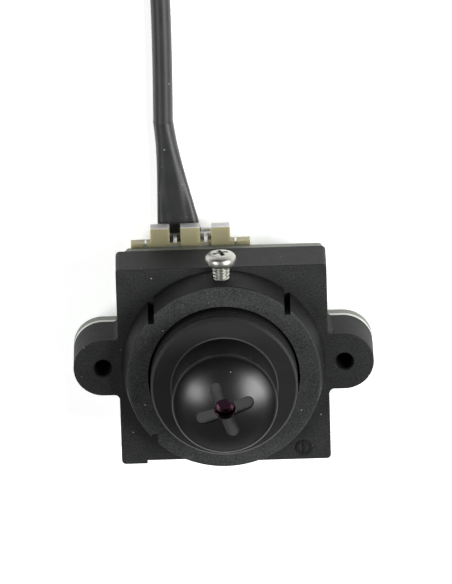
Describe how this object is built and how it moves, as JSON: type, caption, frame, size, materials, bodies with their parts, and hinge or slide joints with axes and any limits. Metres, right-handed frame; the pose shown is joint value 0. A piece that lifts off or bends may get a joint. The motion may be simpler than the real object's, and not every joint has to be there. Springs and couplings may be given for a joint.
{
  "type": "miniature board camera",
  "caption": "Small board camera in an eared lens holder, with a pinhole lens disguised as a cross-head screw, a clamp screw and a plug-in cable.",
  "frame": {"origin": "midway between the two ear holes, on the plane of the ears' front faces, which is also on the lens axis", "axes": "+Z along the lens axis, out of the lens; +X through the ears; +Y towards the plug, the cable and the clamp screw"},
  "size_m": [0.0409, 0.0924, 0.0253],
  "materials": {
    "holder_plastic": "matte",
    "ring_plastic": "satin",
    "head_plastic": "gloss",
    "optical_glass": "polished",
    "filter_glass": "polished",
    "black_anodised": "satin",
    "plated_screw": "satin",
    "light_seal_foam": "matte",
    "sensor_ceramic": "matte",
    "silicon": "polished",
    "shim_plastic": "satin",
    "board_laminate": "satin",
    "connector_nylon": "satin",
    "tin_plate": "satin",
    "wire_insulation": "satin",
    "cable_sleeve": "satin",
    "tie_nylon": "satin",
    "chip_resin": "matte",
    "capacitor_can": "satin",
    "inductor_ferrite": "matte",
    "capacitor_ceramic": "matte"
  },
  "bodies": {
    "camera": {"lens_holder": "holder_plastic", "infrared_filter": "filter_glass", "sensor_package": "sensor_ceramic", "sensor_die": "silicon", "sensor_cover_glass": "optical_glass", "foam_light_seal": "light_seal_foam", "board_shim": "shim_plastic", "circuit_board": "board_laminate", "board_screws": "plated_screw", "header_housing": "connector_nylon", "header_pins": "tin_plate", "fitting_nails": "tin_plate", "processor_chip": "chip_resin", "processor_pins": "tin_plate", "capacitor_bases": "chip_resin", "capacitor_cans": "capacitor_can", "crystal_can": "tin_plate", "power_inductor": "inductor_ferrite", "voltage_regulator": "chip_resin", "protection_diode": "chip_resin", "ceramic_capacitors": "capacitor_ceramic", "chip_resistors": "inductor_ferrite"},
    "lens": {"focus_ring": "ring_plastic", "screw_head_cap": "head_plastic", "front_lens": "optical_glass", "lens_cell": "black_anodised", "aperture_stop": "black_anodised", "middle_lens": "optical_glass", "cell_ring_nut": "black_anodised", "rear_lens": "optical_glass", "tail_ring_nut": "black_anodised"},
    "clamp": {"clamp_screw": "plated_screw"},
    "lead": {"plug_housing": "connector_nylon", "crimp_terminals": "tin_plate", "plug_wires": "wire_insulation", "heat_shrink_boot": "cable_sleeve", "cable": "cable_sleeve", "cable_coil": "cable_sleeve", "coil_tie": "tie_nylon", "cable_tail": "cable_sleeve", "far_boot": "cable_sleeve", "far_plug": "connector_nylon", "far_terminals": "tin_plate", "far_wires": "wire_insulation"}
  },
  "joints": [
    {"name": "lens_focus", "type": "hinge", "parent": "camera", "child": "lens", "pos_m": [0, 0, 0], "axis": [0, 0, 1], "range_deg": [-180, 180]},
    {"name": "clamp_back_out", "type": "slide", "parent": "camera", "child": "clamp", "axis": [0, 1, 0], "range_m": [0, 0.0012]},
    {"name": "plug_pull", "type": "slide", "parent": "camera", "child": "lead", "axis": [0, 1, 0], "range_m": [0, 0.004]}
  ]
}
